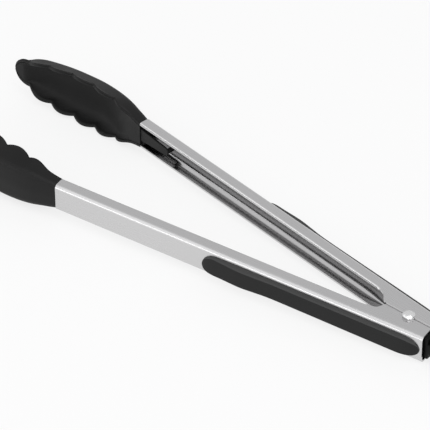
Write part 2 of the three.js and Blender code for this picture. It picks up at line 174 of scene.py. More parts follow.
def catmull(points, count):
    """Smooth path through points, with count steps from each to the next."""
    out = [points[0]]
    for i in range(len(points) - 1):
        p0, p1 = points[max(i - 1, 0)], points[i]
        p2, p3 = points[i + 1], points[min(i + 2, len(points) - 1)]
        for t in steps(0.0, 1.0, count):
            out.append(0.5 * (2 * p1 + (p2 - p0) * t + (2 * p0 - 5 * p1 + 4 * p2 - p3) * t**2
                              + (3 * p1 - p0 - 3 * p2 + p3) * t**3))
    return out


def arm_to_world(point, side):
    """Place of a point given as (u, d, z) on one side of the tongs."""
    u, d, z = point
    x = -u * math.cos(OPEN_ANGLE) + d * math.sin(OPEN_ANGLE)
    y = u * math.sin(OPEN_ANGLE) + d * math.cos(OPEN_ANGLE)
    z = z + STAGGER
    if side == "front":
        y, z = -y, -z
    return pivot_to_world((x, y, z))


def pivot_to_world(point):
    """Place of a point given in mm from the pivot, along the world's axes."""
    return Vector(PIVOT + np.array(point) * MM)


def link(name, mesh):
    obj = bpy.data.objects.new(name, mesh)
    bpy.context.scene.collection.objects.link(obj)
    return obj


def shade(obj, angle=35.0):
    """Smooth shading with sharp edges where faces meet at more than angle degrees."""
    bm = bmesh.new()
    bm.from_mesh(obj.data)
    bmesh.ops.recalc_face_normals(bm, faces=bm.faces)
    for face in bm.faces:
        face.smooth = True
    limit = math.radians(angle)
    for edge in bm.edges:
        edge.smooth = len(edge.link_faces) == 2 and edge.calc_face_angle(0.0) < limit
    bm.to_mesh(obj.data)
    bm.free()
    return obj


def loft(name, rings, place, angle=35.0, across=None):
    """Closed body through rings of (u, d, z). The UV map holds u and the distance round the ring, in mm."""
    count = len(rings[0])
    mesh = bpy.data.meshes.new(name)
    verts = [place(p) for ring in rings for p in ring]
    faces = []
    uvs = []
    around = []
    for s, ring in enumerate(rings):
        if across:
            around.append(across[s] + across[s][:1])
            continue
        length = [0.0]
        for k in range(count):
            a, b = ring[k], ring[(k + 1) % count]
            length.append(length[-1] + math.hypot(b[1] - a[1], b[2] - a[2]))
        around.append(length)
    for s in range(len(rings) - 1):
        for k in range(count):
            j = (k + 1) % count
            faces.append((s * count + k, s * count + j, (s + 1) * count + j, (s + 1) * count + k))
            uvs += [(rings[s][k][0], around[s][k]), (rings[s][j][0], around[s][k + 1])]
            uvs += [(rings[s + 1][j][0], around[s + 1][k + 1]), (rings[s + 1][k][0], around[s + 1][k])]
    for s in (0, len(rings) - 1):
        for k in range(count // 2 - 1):
            quad = (k, k + 1, count - 2 - k, count - 1 - k)
            faces.append(tuple(s * count + i for i in quad))
            uvs += [(rings[s][i][0] + rings[s][i][1], rings[s][i][2]) for i in quad]
    mesh.from_pydata(verts, [], faces)
    layer = mesh.uv_layers.new(name="grain")
    layer.data.foreach_set("uv", [c for uv in uvs for c in uv])
    return shade(link(name, mesh), angle)


def prism(name, outline, low, high, place, bevel=0.4):
    """Plate with rounded edges: a closed outline of (x, y) from z = low to z = high."""
    bm = bmesh.new()
    base = [bm.verts.new((x, y, low)) for x, y in outline]
    face = bm.faces.new(base)
    top = bmesh.ops.extrude_face_region(bm, geom=[face])
    moved = [v for v in top["geom"] if isinstance(v, bmesh.types.BMVert)]
    bmesh.ops.translate(bm, verts=moved, vec=(0, 0, high - low))
    sharp = [e for e in bm.edges if e.calc_face_angle(0.0) > math.radians(40)]
    bmesh.ops.bevel(bm, geom=sharp, offset=bevel, segments=3, profile=0.5, affect="EDGES")
    for v in bm.verts:
        v.co = place(tuple(v.co))
    mesh = bpy.data.meshes.new(name)
    bm.to_mesh(mesh)
    bm.free()
    return shade(link(name, mesh))


def rectangle(x0, x1, y0, y1):
    return [(x0, y0), (x1, y0), (x1, y1), (x0, y1)]


def boolean(obj, other, operation):
    """Applies a boolean and removes the other object."""
    modifier = obj.modifiers.new("cut", "BOOLEAN")
    modifier.operation = operation
    modifier.solver = "EXACT"
    modifier.object = other
    graph = bpy.context.evaluated_depsgraph_get()
    mesh = bpy.data.meshes.new_from_object(obj.evaluated_get(graph))
    obj.modifiers.clear()
    obj.data = mesh
    bpy.data.objects.remove(other)
    return obj


def cylinder(name, radius, low, high, place, centre=(0.0, 0.0), count=64):
    outline = []
    for i in range(count):
        angle = 2 * math.pi * i / count
        outline.append((centre[0] + radius * math.cos(angle), centre[1] + radius * math.sin(angle)))
    bm = bmesh.new()
    rings = [[bm.verts.new(place((x, y, z))) for x, y in outline] for z in (low, high)]
    for i in range(count):
        j = (i + 1) % count
        bm.faces.new((rings[0][i], rings[0][j], rings[1][j], rings[1][i]))
    bm.faces.new(rings[0][::-1])
    bm.faces.new(rings[1])
    mesh = bpy.data.meshes.new(name)
    bm.to_mesh(mesh)
    bm.free()
    return shade(link(name, mesh))


def lathe(name, profile, count=96):
    """Turned piece about the pivot: a closed profile of (r, z), where r = 0 is one point on the axis."""
    bm = bmesh.new()
    rings = []
    for r, z in profile:
        if r == 0:
            rings.append([bm.verts.new(pivot_to_world((0, 0, z)))] * count)
            continue
        ring = []
        for i in range(count):
            angle = 2 * math.pi * i / count
            ring.append(bm.verts.new(pivot_to_world((r * math.cos(angle), r * math.sin(angle), z))))
        rings.append(ring)
    closed = profile[0][0] > 0
    for s in range(len(rings) if closed else len(rings) - 1):
        a, b = rings[s], rings[(s + 1) % len(rings)]
        for i in range(count):
            j = (i + 1) % count
            corners = []
            for v in (a[i], a[j], b[j], b[i]):
                if v not in corners:
                    corners.append(v)
            bm.faces.new(corners)
    mesh = bpy.data.meshes.new(name)
    bm.to_mesh(mesh)
    bm.free()
    return shade(link(name, mesh))


def wire(name, points, radius, sides=16):
    """Round wire through points (in mm from the pivot), with rounded ends."""
    path = [np.array(p, float) for p in points]
    tangents = []
    for i in range(len(path)):
        t = path[min(i + 1, len(path) - 1)] - path[max(i - 1, 0)]
        tangents.append(t / np.linalg.norm(t))
    normal = np.cross(tangents[0], (0.0, 0.0, 1.0))
    rings = []
    for i, t in enumerate(tangents):
        normal = normal - t * np.dot(normal, t)
        normal = normal / np.linalg.norm(normal)
        side = np.cross(t, normal)
        sizes = [(0.0, 1.0)]
        if i == 0:
            sizes = [(-0.9, 0.35), (-0.6, 0.8), (0.0, 1.0)]
        if i == len(path) - 1:
            sizes = [(0.0, 1.0), (0.6, 0.8), (0.9, 0.35)]
        for along, size in sizes:
            centre = path[i] + t * along * radius
            ring = []
            for k in range(sides):
                angle = 2 * math.pi * k / sides
                offset = normal * math.cos(angle) + side * math.sin(angle)
                ring.append(tuple(centre + offset * radius * size))
            rings.append(ring)
    return loft(name, rings, pivot_to_world)


# ---- arm: stamped channel with curled edges and two ears ---------------------------------------------------

MID_LIP = LIP_RADIUS - SHEET / 2
LIP_ARC = MID_LIP * math.pi / 2
FLAT_EDGE = FREE_EDGE + LIP_RADIUS - LIP_ARC - LIP_STRAIGHT   # where the edge would be, uncurled
EAR_FRONT = 14.4           # where the outer ear leaves the tongs' centre line
LOBE = 2.9                 # radius of the outer ear's lobe round the pin
EYE = 5.2                  # radius of the inner ear's eye round the pin
EYE_TAIL = -3.4
EYE_FRONT = 4.6
CUT_ROUND = 0.06           # rounding of the sheet's cut edges
INNER_FACE = 1000.0        # added to the grain map's second coordinate on the sheet's inner face
WEB_ROWS = 4               # points across half the web, round the bend, along the flange and round the lip
BEND_ROWS = 9
FLANGE_ROWS = 5
LIP_ROWS = 7

outer_ear_front = curve_through([
    (EAR_FRONT, -1.9), (16.1, -0.9), (17.8, 0.8), (19.6, 2.0), (21.6, 2.6), (24, FLAT_EDGE), (30, FLAT_EDGE),
])
inner_ear_front = curve_through([
    (EYE_FRONT, -2.43), (6.5, -4.6), (9, -4.9), (11.5, -4.0), (13, -2.6), (14.3, -0.7), (15.5, 1.5),
    (16.6, 2.5), (18.5, FLAT_EDGE), (30, FLAT_EDGE),
])
inner_ear_tail = curve_through([(-TAIL, 1.2), (-9, 0.2), (-6.5, -1.6), (-5, -3.2), (-4, -3.9)])


def outer_ear_edge(u):
    """Edge of the ear that lies outside: on the tongs' centre line, with a lobe round the pin."""
    if u >= EAR_FRONT:
        return outer_ear_front(u)
    edge = -u * math.tan(OPEN_ANGLE)
    if abs(u) < LOBE:
        edge = min(edge, -math.sqrt(LOBE**2 - u**2))
    return edge + smoothstep(u, EAR_FRONT - 1.2, EAR_FRONT) * 0.1


def inner_ear_edge(u):
    """Edge of the ear that turns under the other arm's: a full eye round the pin."""
    if u < EYE_TAIL:
        return inner_ear_tail(u)
    if u <= EYE_FRONT:
        return -math.sqrt(EYE**2 - u**2)
    return min(inner_ear_front(u), FLAT_EDGE)


def curl(u, outer):
    """Share of the full quarter-turn that the free edge is curled by."""
    return smoothstep(u, 20.0, 26.5) if outer else smoothstep(u, 18.5, 25.0)


def half_sheet(u, outer):
    """Middle of the sheet from the web's centre to its free edge, as (d, z, normal d, normal z)."""
    mid = WEB_OUT - SHEET / 2
    radius = BEND - SHEET / 2
    rows = [(mid, (HALF - BEND) * i / (WEB_ROWS - 1), 1.0, 0.0) for i in range(WEB_ROWS)]
    for angle in steps(0, math.pi / 2, BEND_ROWS):
        c, s = math.cos(angle), math.sin(angle)
        rows.append((WEB_OUT - BEND + radius * c, HALF - BEND + radius * s, c, s))
    top = HALF - SHEET / 2
    edge = outer_ear_edge(u) if outer else inner_ear_edge(u)
    start = edge + LIP_ARC + LIP_STRAIGHT
    rows += [(d, top, 0.0, 1.0) for d in steps(WEB_OUT - BEND, start, FLANGE_ROWS)]
    turn = max(curl(u, outer) * math.pi / 2, 1e-3)
    lip = LIP_ARC / turn
    for angle in steps(0, turn, LIP_ROWS):
        c, s = math.cos(angle), math.sin(angle)
        rows.append((start - lip * s, top - lip + lip * c, -s, c))
    d, z, nd, nz = rows[-1]
    rows.append((d - nz * LIP_STRAIGHT, z + nd * LIP_STRAIGHT, nd, nz))
    return rows


# Radii of the channel's inner corner, from the web's side to the flange's, with the angles they span.
CORNER_ARCS = ((0.2, 0.0, 26.0), (3.0, 26.0, 50.0), (5.0, 50.0, 90.0))
CORNER_RISE = sum(r * (math.sin(math.radians(b)) - math.sin(math.radians(a))) for r, a, b in CORNER_ARCS)
CORNER_START = HALF - SHEET - CORNER_RISE
SHARP_UNTIL = 24.0         # the inner corner is the sheet's own bend up to here,
WIDE_FROM = 38.0           # and the wide one from here on


def corner_point(degrees):
    """Point of the inner corner as (d, z), for the upper half of the channel."""
    d, z = WEB_IN, CORNER_START
    for radius, first, last in CORNER_ARCS:
        a, b = math.radians(first), math.radians(min(last, degrees))
        if b > a:
            d -= radius * (math.cos(a) - math.cos(b))
            z += radius * (math.sin(b) - math.sin(a))
    return d, z


def soft_inside(rows):
    """Inner face with the wide corner for half_sheet's rows, as (d, z), and None round the lip."""
    points = [(WEB_IN, CORNER_START * i / (WEB_ROWS - 1)) for i in range(WEB_ROWS)]
    points += [corner_point(angle) for angle in steps(0.0, 90.0, BEND_ROWS)]
    flange_end = rows[WEB_ROWS + BEND_ROWS + FLANGE_ROWS - 1][0]
    points += [(d, HALF - SHEET) for d in steps(points[-1][0], flange_end, FLANGE_ROWS)]
    return points + [None] * (len(rows) - len(points))


def arm_ring(u):
    """Closed outline of the sheet at u, and each point's distance from the web's middle along the sheet."""
    upper = half_sheet(u, True)
    lower = [(d, -z, nd, -nz) for d, z, nd, nz in half_sheet(u, False)]
    rows = lower[::-1] + upper[1:]
    soft = soft_inside(lower)[::-1] + soft_inside(upper)[1:]
    softness = smoothstep(u, SHARP_UNTIL, WIDE_FROM)
    middle = len(lower) - 1
    run = [0.0]
    for a, b in zip(rows, rows[1:]):
        run.append(run[-1] + math.hypot(b[0] - a[0], b[1] - a[1]))
    half = SHEET / 2
    outer, inner = [], []
    for i, (d, z, nd, nz) in enumerate(rows):
        offsets = [(0.0, half)]
        if i == 0:
            offsets = [(0.0, half - CUT_ROUND), (CUT_ROUND, half)]
        if i == len(rows) - 1:
            offsets = [(-CUT_ROUND, half), (0.0, half - CUT_ROUND)]
        for along, out in offsets:
            centre = (d - nz * along, z + nd * along)
            distance = run[i] - run[middle]
            outer.append(((u, centre[0] + nd * out, centre[1] + nz * out), distance))
            inside = (centre[0] - nd * out, centre[1] - nz * out)
            if soft[i]:
                wide = (soft[i][0], math.copysign(soft[i][1], z))
                inside = tuple(a + (b - a) * softness for a, b in zip(inside, wide))
            inner.append(((u, *inside), distance + INNER_FACE))
    ring = outer + inner[::-1]
    return [point for point, _ in ring], [distance for _, distance in ring]


def arm(side, outside, inside):
    """The stamping, with one steel on its outer face and a darker copy of it on its inner face, which is
    painted shade for the channel's inside.
    """
    stations = [-TAIL, -TAIL + CUT_ROUND] + steps(-TAIL + CUT_ROUND, 30.0, 110)
    stations += steps(30.0, ARM_FRONT - CUT_ROUND, 40) + [ARM_FRONT]
    rings, across = zip(*(arm_ring(u) for u in stations))
    body = loft(f"{side}_arm_sheet", rings, lambda p: arm_to_world(p, side), 28, across)
    body.data.materials.append(outside)
    # the inner face's steel is a darker copy of the outer one: painted shade inside the channel
    body.data.materials.append(inside)
    grain = body.data.uv_layers["grain"].data
    for face in body.data.polygons:
        # faces on the sheet's inner side get the darker steel, the painted shade
        face.material_index = int(all(grain[i].uv[1] > INNER_FACE / 2 for i in face.loop_indices))
    pin_hole = cylinder("pin_hole", PIN_HOLE, -20, 20, pivot_to_world)
    return boolean(body, pin_hole, "DIFFERENCE")


# ---- head: nylon scoop -------------------------------------------------------------------------------------

back_depth = curve_through([
    (HEAD_START, WEB_OUT), (205, 11.2), (213, 12.3), (222, 12.6), (233, 12), (245, 10.1), (256, 7.9),
    (266, 5), (270, 3.7), (274, 1.8), (276.5, 0.1), (278.5, -1.9), (281, -3.8), (HEAD_TIP, -5.6),
])
rim_depth = curve_through([
    (HEAD_START, 3.3), (206, 3.4), (217.4, 3.4), (232.4, 2), (247.1, -0.1), (261.1, -3), (275.9, -5.3),
    (HEAD_TIP, -7),
])
shoulder_width = curve_through([
    (HEAD_START, 8), (204, 8.8), (213, 9.9), (226, 10.6), (245, 10.4), (258, 9.8), (268, 9.2), (275, 8.2),
    (278, 6.6), (281, 6.2),
])
rim_width = curve_through([
    (HEAD_START, 8), (202, 8.9), (206, 10), (212, 11.8), (217.4, 13), (232.4, 14.1), (247.1, 13.9),
    (261.1, 12.4), (269, 10.9), (275.9, 8.5),
])


def tip_round(u):
    """Share of the full width that is left at u, where the tip is rounded."""
    along = max(0.0, (u - TIP_LOBE_START) / (HEAD_TIP - TIP_LOBE_START))
    return math.sqrt(max(0.0, 1 - along**2.2))


def scallop(u):
    """Height of the rim's wave at u, from 0 to 1."""
    if not SCALLOP_START < u < TIP_LOBE_START:
        return 0.0
    phase = abs(math.sin(math.pi * (TIP_LOBE_START - u) / SCALLOP_PITCH))
    return smoothstep(u, SCALLOP_START, SCALLOP_START + SCALLOP_PITCH) * phase**0.8


def outer_wall(back, shoulder, rim, crest):
    """From the middle of the back over a round shoulder and up the wall to the scalloped rim, as [d, z]."""
    rounding = min(3.0, shoulder[1] * 0.5)
    to_back = (back - shoulder) / np.linalg.norm(back - shoulder)
    to_rim = (rim - shoulder) / np.linalg.norm(rim - shoulder)
    start = shoulder + to_back * rounding
    end = shoulder + to_rim * rounding
    points = [back + (start - back) * t for t in (0.0, 0.3, 0.65)]
    points += bezier(start, shoulder, end, 8)
    for share in steps(0.0, 1.0, 9):
        points.append(end + (rim + to_rim * SCALLOP_HEIGHT * crest - end) * share)
    return points


def bowl(deep, rim, lift, count):
    """Round bowl from the middle of the scoop's floor to the rim; its last points rise with the scallops."""
    power = 2 / 2.6
    points = []
    for i in range(count):
        share = i / (count - 1)
        angle = math.pi / 2 * share
        d = rim[0] + (deep - rim[0]) * max(math.cos(angle), 0.0) ** power
        point = np.array([d if i + 1 < count else rim[0], rim[1] * math.sin(angle) ** power])
        points.append(point + lift * smoothstep(share, 0.5, 1.0))
    return points


def head_ring(u):
    """Outline of the scoop at u: outer wall, rounded rims and bowl."""
    narrow = tip_round(u)
    back, rim = back_depth(u), rim_depth(u)
    width = max(rim_width(u) * narrow, 1.2)
    shoulder = max(min(shoulder_width(u) * narrow, width - 0.3), 0.8)
    rim_point = np.array([rim, width])
    outer = outer_wall(np.array([back, 0.0]), np.array([back - 0.5, shoulder]), rim_point, scallop(u))
    hollow = smoothstep(u, HEAD_START + 3, HEAD_START + 40)
    deep = rim + hollow * max(back - FLOOR_THICK - rim, 0.05)
    wall = min(WALL, width * 0.45)
    inner = bowl(deep, np.array([rim, width - wall]), outer[-1] - rim_point, len(outer))
    round_rim = []
    top, side = outer[-1], inner[-1]
    middle, across = (top + side) / 2, (top - side) / 2
    bulge = np.array([-abs(across[1]), 0.0]) * 0.8
    sunk = bulge * 0.8     # both faces stop this far short of the rim and meet in a half circle
    for angle in (0.25, 0.5, 0.75):
        c, s = math.cos(math.pi * angle), math.sin(math.pi * angle)
        round_rim.append(middle + across * c + bulge * s - sunk)
    outer[-1] = top - sunk
    inner[-1] = side - sunk
    profile = outer + round_rim
    upper = [(u, p[0], p[1]) for p in profile]
    lower = [(u, p[0], -p[1]) for p in profile[1:]][::-1]
    inside = [(u, p[0], p[1]) for p in inner][::-1] + [(u, p[0], -p[1]) for p in inner[1:]]
    return lower + upper + inside


tongue_half = curve_through([
    (TONGUE_END, 1.7), (TONGUE_END + 1, 2.2), (180.5, 2.5), (186, 2.8), (190, 3.1), (HEAD_START + 3, 4),
])


def tongue(place):
    """Flat tongue from the plug into the arm, narrower toward its end, with its front edges eased."""
    ease = 0.25
    rings = []
    for u in [TONGUE_END] + steps(TONGUE_END, HEAD_START + 3, 12):
        half = tongue_half(u)
        corner = [(TONGUE_BACK, half), (TONGUE_FRONT + ease, half), (TONGUE_FRONT, half - ease)]
        rings.append([(u, d, -z) for d, z in corner] + [(u, d, z) for d, z in reversed(corner)])
    return loft("tongue", rings, place)


def head(side):
    """The scoop, with the plug, the tongue and the hook that hold it in the arm."""
    def place(point):
        return arm_to_world(point, side)

    def place_prism(point):
        """Prisms are drawn with x toward the tail, so that their outlines keep their direction."""
        return arm_to_world((-point[0], point[1], point[2]), side)

    lobe = HEAD_TIP - TIP_LOBE_START
    stations = [HEAD_START] + steps(HEAD_START, TIP_LOBE_START, 110)
    stations += [TIP_LOBE_START + lobe * math.sin(a) for a in steps(0, math.pi / 2, 16)]
    scoop = loft(f"{side}_scoop", [head_ring(u) for u in stations], place, 40)
    plug_half = HALF - SHEET - PLUG_ROOM
    plug = rectangle(-HEAD_START - 2, -HEAD_START + PLUG_BACK, FREE_EDGE + 1.3, WEB_IN - PLUG_ROOM)
    hook_end = -TONGUE_END - 0.4
    hook = rectangle(hook_end - HOOK_THICK, hook_end, TONGUE_FRONT + 0.2, WEB_IN - 0.2)
    pieces = [
        prism("plug", plug, -plug_half, plug_half, place_prism),
        tongue(place),
        prism("hook", hook, -HOOK_HALF_WIDTH, HOOK_HALF_WIDTH, place_prism),
    ]
    for piece in pieces:
        boolean(scoop, piece, "UNION")
    return shade(scoop, 40)


# ---- grip --------------------------------------------------------------------------------------------------

grip_half = curve_through([
    (0, 5.55), (20, 5.5), (54, 5.4), (74, 5.4), (80, 5.6), (87, 5.8), (98, 5.7), (GRIP_NOSE_ROUND, 5.7),
])
grip_shift = curve_through([
    (0, 0.35), (20, 0.25), (54, 0.05), (70, 0.05), (80, 0.4), (87, 0.65), (98, 0.65), (GRIP_NOSE_ROUND, 0.7),
])
grip_thick = curve_through([
    (GRIP_TAIL, 1.0), (-8, 1.9), (0, 2.2), (54, 2.3), (72, 2.3), (80, 2.5), (87, 2.6), (93, 2.3), (100, 1.8),
    (105, 1.5), (GRIP_NOSE, 1.3),
])


def grip_ring(u):
    """Section of the pad: flat back, tapered sides, chamfered face."""
    tail = max(0.0, (GRIP_TAIL_ROUND - u) / (GRIP_TAIL_ROUND - GRIP_TAIL))
    nose = max(0.0, (u - GRIP_NOSE_ROUND) / (GRIP_NOSE - GRIP_NOSE_ROUND))
    end = max(0.0, 1 - max(tail, nose) ** 2.4) ** 0.45
    half = max(grip_half(u) * end, 0.3)
    middle = grip_shift(u) + 1.3 * nose**2
    thick = grip_thick(u) * max(end, 0.35)
    foot = np.array([0.0, half])
    edge = np.array([thick * 0.75, half - min(thick * 0.15, half * 0.1)])
    ridge = np.array([thick, half - min(thick * 0.5, half * 0.6)])
    wall = (edge - foot) / np.linalg.norm(edge - foot)
    slope = (ridge - edge) / np.linalg.norm(ridge - edge)
    soft = 0.15 * min(1.0, half / 3, thick / 1.3)
    across = np.array([0.0, soft])
    points = [foot, edge - wall * soft * 1.3]
    points += bezier(edge - wall * soft, edge, edge + slope * soft, 3)
    points += [edge + slope * soft * 1.3, ridge - slope * soft * 1.5]
    points += bezier(ridge - slope * soft, ridge, ridge - across, 3)
    points += [ridge - across * 1.5, np.array([thick, ridge[1] * 0.4])]
    face = WEB_OUT + GAP
    upper = [(u, face + p[0], middle + p[1]) for p in points]
    lower = [(u, face + p[0], middle - p[1]) for p in points]
    return lower + upper[::-1]


def grip(side, face, edge):
    """The pad: fine matt grain on its face, smooth and lighter from the chamfer round to the back, where the
    lighter colour is painted light.
    """
    quarter = [0.0] + steps(0, math.pi / 2, 20)
    stations = [GRIP_TAIL + (GRIP_TAIL_ROUND - GRIP_TAIL) * (1 - math.cos(a)) for a in quarter]
    stations += steps(GRIP_TAIL_ROUND, GRIP_NOSE_ROUND, 60)
    stations += [GRIP_NOSE_ROUND + (GRIP_NOSE - GRIP_NOSE_ROUND) * math.sin(a) for a in quarter[1:]]
    rings = [grip_ring(u) for u in stations]
    pad = loft(f"{side}_grip_pad", rings, lambda p: arm_to_world(p, side), 40)
    pad.data.materials.append(face)
    pad.data.materials.append(edge)
    outward = np.array(arm_to_world((0, 1, 0), side)) - np.array(arm_to_world((0, 0, 0), side))
    outward /= np.linalg.norm(outward)
    # faces that don't face straight out get the lighter rubber, which is painted light on the sides that face
    # up
    for polygon in pad.data.polygons:
        polygon.material_index = int(np.dot(polygon.normal, outward) < 0.85)
    return pad


# ---- pivot: rivet, bush, spring ----------------------------------------------------------------------------


def rivet():
    """Pin with a low domed head on each side."""
    under = EAR_OUT + GAP
    dome = [(RIVET_RADIUS - RIVET_EDGE, under), (RIVET_RADIUS, under + RIVET_EDGE)]
    rise = RIVET_HEIGHT - RIVET_EDGE
    ball = (RIVET_RADIUS**2 + rise**2) / (2 * rise)
    for angle in steps(math.asin(RIVET_RADIUS / ball), 0, 14):
        dome.append((ball * math.sin(angle), under + RIVET_HEIGHT - ball * (1 - math.cos(angle))))
    upper = [(PIN_RADIUS, under)] + dome[:-1] + [(0, under + RIVET_HEIGHT)]
    lower = [(r, -z) for r, z in upper][::-1]
    return lathe("rivet", lower + upper)


def bush():
    """Flanged tube on the rivet, inside the spring."""
    end = EAR_IN - GAP
    under = end - BUSH_FLANGE
    body = COIL_RADIUS - WIRE_RADIUS - 0.2
    wide = BUSH_FLANGE_RADIUS
    profile = [
        (PIN_HOLE, -end), (wide, -end), (wide, -under), (body, -under),
        (body, under), (wide, under), (wide, end), (PIN_HOLE, end),
    ]
    return lathe("bush", profile)


def leg_points(side):
    """From where the wire leaves the coil to its end on the web, in mm from the pivot."""
    sign = 1 if side == "rear" else -1
    d = WEB_IN - WIRE_RADIUS - GAP
    points = [(0.0, COIL_RADIUS), (-2.5, COIL_RADIUS + 0.12), (-8.0, COIL_RADIUS + 1.6)]
    for u in (LEG_END - 1, LEG_END, LEG_END + 1.5, LEG_END + 4):
        points.append((
            -u * math.cos(OPEN_ANGLE) + d * math.sin(OPEN_ANGLE),
            u * math.sin(OPEN_ANGLE) + d * math.cos(OPEN_ANGLE),
        ))
    smooth = catmull([np.array(p) for p in points], 8)
    return [(x, sign * y, sign * COIL_HALF_HEIGHT) for x, y in smooth]


def spring():
    """The coil, without its legs."""
    per_turn = 28
    count = int(COIL_TURNS * per_turn)
    coil = []
    for i in range(count + 1):
        angle = -math.pi / 2 + 2 * math.pi * i / per_turn
        height = COIL_HALF_HEIGHT * (2 * i / count - 1)
        coil.append((COIL_RADIUS * math.cos(angle), COIL_RADIUS * math.sin(angle), height))
    return wire("spring_coil", coil, WIRE_RADIUS)


# ---- lock slider -------------------------------------------------------------------------------------------


def slider():
    """Block with the hanging tab behind it, and a rail with a wedge wing on each side of the spring."""
    start = COIL_RADIUS + WIRE_RADIUS + 1.5
    half = EAR_IN - 0.4
    wide = SLIDER_HALF_WIDTH
    centre = TAB_END - wide
    tab = [(TAB_START, -wide), (centre, -wide)]
    for angle in steps(-math.pi / 2, math.pi / 2, 32):
        tab.append((centre + wide * math.cos(angle), wide * math.sin(angle)))
    tab.append((TAB_START, wide))
    block = rectangle(start, SLIDER_BODY_END, -wide, wide)
    body = prism("slider", block, -half, half, pivot_to_world, 0.6)
    boolean(body, prism("tab", tab, -TAB_HALF_HEIGHT, TAB_HALF_HEIGHT, pivot_to_world, 0.8), "UNION")
    for sign in (-1, 1):
        inside = sign * RAIL_INSIDE
        rail = rectangle(RAIL_FRONT, start + 1, *sorted((inside, sign * wide)))
        wing = rectangle(WING_FRONT, WING_BACK, *sorted((inside, sign * WING_HALF_WIDTH)))
        for outline in (rail, wing):
            piece = prism("rail", outline, -RAIL_HALF_HEIGHT, RAIL_HALF_HEIGHT, pivot_to_world, 0.3)
            boolean(body, piece, "UNION")
    hole = cylinder("hole", HANG_HOLE_RADIUS, -20, 20, pivot_to_world, (centre - 1, 0.0))
    boolean(body, hole, "DIFFERENCE")
    return shade(body)


# ---- materials ---------------------------------------------------------------------------------------------

NOISE_LOW = 0.35           # nearly all of a noise texture's values lie between these
NOISE_HIGH = 0.65


def grey(value):
    return (value, value, value)


def new_material(name, **values):
    """Material with constants on its shader's sockets, named with _ for a space."""
    material = bpy.data.materials.new(name)
    material.use_nodes = True
    shader = material.node_tree.nodes["Principled BSDF"]
    for key, value in values.items():
        shader.inputs[key.replace("_", " ")].default_value = value
    return material, material.node_tree, shader


def noise(tree, vector, scale, detail=2.0, rough=0.5, stretch=None):
    """Noise texture, with its coordinates stretched first where stretch is given."""
    if stretch:
        mapping = tree.nodes.new("ShaderNodeMapping")
        mapping.inputs["Scale"].default_value = stretch
        tree.links.new(vector, mapping.inputs["Vector"])
        vector = mapping.outputs["Vector"]
    node = tree.nodes.new("ShaderNodeTexNoise")
    node.inputs["Scale"].default_value = scale
    node.inputs["Detail"].default_value = detail
    node.inputs["Roughness"].default_value = rough
    tree.links.new(vector, node.inputs["Vector"])
    return node.outputs["Fac"]


def remap(tree, value, low, high):
    """A noise texture's values, spread from low to high."""
    node = tree.nodes.new("ShaderNodeMapRange")
    node.inputs["From Min"].default_value = NOISE_LOW
    node.inputs["From Max"].default_value = NOISE_HIGH
    node.inputs["To Min"].default_value = low
    node.inputs["To Max"].default_value = high
    tree.links.new(value, node.inputs["Value"])
    return node.outputs["Result"]


def bump(tree, shader, height, strength, distance):
    node = tree.nodes.new("ShaderNodeBump")
    node.inputs["Strength"].default_value = strength
    node.inputs["Distance"].default_value = distance
    tree.links.new(height, node.inputs["Height"])
    tree.links.new(node.outputs["Normal"], shader.inputs["Normal"])


def tint(tree, shader, value, dark, light):
    """Base colour that wanders between two greys."""
    ramp = tree.nodes.new("ShaderNodeValToRGB")
    ramp.color_ramp.elements[0].color = (*dark, 1)
    ramp.color_ramp.elements[1].color = (*light, 1)
    ramp.color_ramp.elements[0].position = 0.3
    ramp.color_ramp.elements[1].position = 0.7
    tree.links.new(value, ramp.inputs["Fac"])
    tree.links.new(ramp.outputs["Color"], shader.inputs["Base Color"])


def brushed_steel(name, colour, roughness, relief):
    """Satin stainless with its grain along the arm, drawn on the UV map that holds millimetres."""
    material, tree, shader = new_material(name, Metallic=1.0, Anisotropic=0.3, Anisotropic_Rotation=0.25)
    uv = tree.nodes.new("ShaderNodeUVMap")
    uv.uv_map = "grain"
    grain = noise(tree, uv.outputs["UV"], 1.0, 3.0, 0.6, (0.02, 4.0, 1.0))
    cloud = noise(tree, uv.outputs["UV"], 1.0, 2.0, 0.5, (0.02, 0.12, 1.0))
    tint(tree, shader, grain, [c - 0.004 for c in colour], [c + 0.004 for c in colour])
    mix = tree.nodes.new("ShaderNodeMath")
    mix.operation = "ADD"
    tree.links.new(remap(tree, grain, roughness - 0.015, roughness + 0.015), mix.inputs[0])
    tree.links.new(remap(tree, cloud, -0.02, 0.02), mix.inputs[1])
    tree.links.new(mix.outputs[0], shader.inputs["Roughness"])
    bump(tree, shader, grain, relief, 0.0002)
    return material


def polished_steel():
    """The rivet: bright, with a slight haze."""
    material, tree, shader = new_material("polished_steel", Metallic=1.0)
    place = tree.nodes.new("ShaderNodeTexCoord").outputs["Object"]
    haze = noise(tree, place, 900.0, 3.0)
    tint(tree, shader, haze, grey(0.80), grey(0.86))
    tree.links.new(remap(tree, haze, 0.22, 0.3), shader.inputs["Roughness"])
    bump(tree, shader, noise(tree, place, 300.0), 0.02, 0.0001)
    return material


def wire_steel():
    """Spring wire: darker, with a drawn finish."""
    material, tree, shader = new_material("wire_steel", Metallic=1.0)
    place = tree.nodes.new("ShaderNodeTexCoord").outputs["Object"]
    haze = noise(tree, place, 600.0, 3.0)
    tint(tree, shader, haze, (0.45, 0.45, 0.46), (0.55, 0.55, 0.56))
    tree.links.new(remap(tree, haze, 0.22, 0.34), shader.inputs["Roughness"])
    return material


def moulded_nylon():
    """Black nylon with a fine spark-eroded grain and slight mould sheen."""
    material, tree, shader = new_material("moulded_nylon", IOR=1.3)
    place = tree.nodes.new("ShaderNodeTexCoord").outputs["Object"]
    grain = noise(tree, place, 2600.0, 2.0, 0.6)
    cloud = noise(tree, place, 60.0, 2.0)
    tint(tree, shader, cloud, grey(0.0045), grey(0.0065))
    tree.links.new(remap(tree, cloud, 0.46, 0.56), shader.inputs["Roughness"])
    bump(tree, shader, grain, 0.25, 0.00008)
    return material


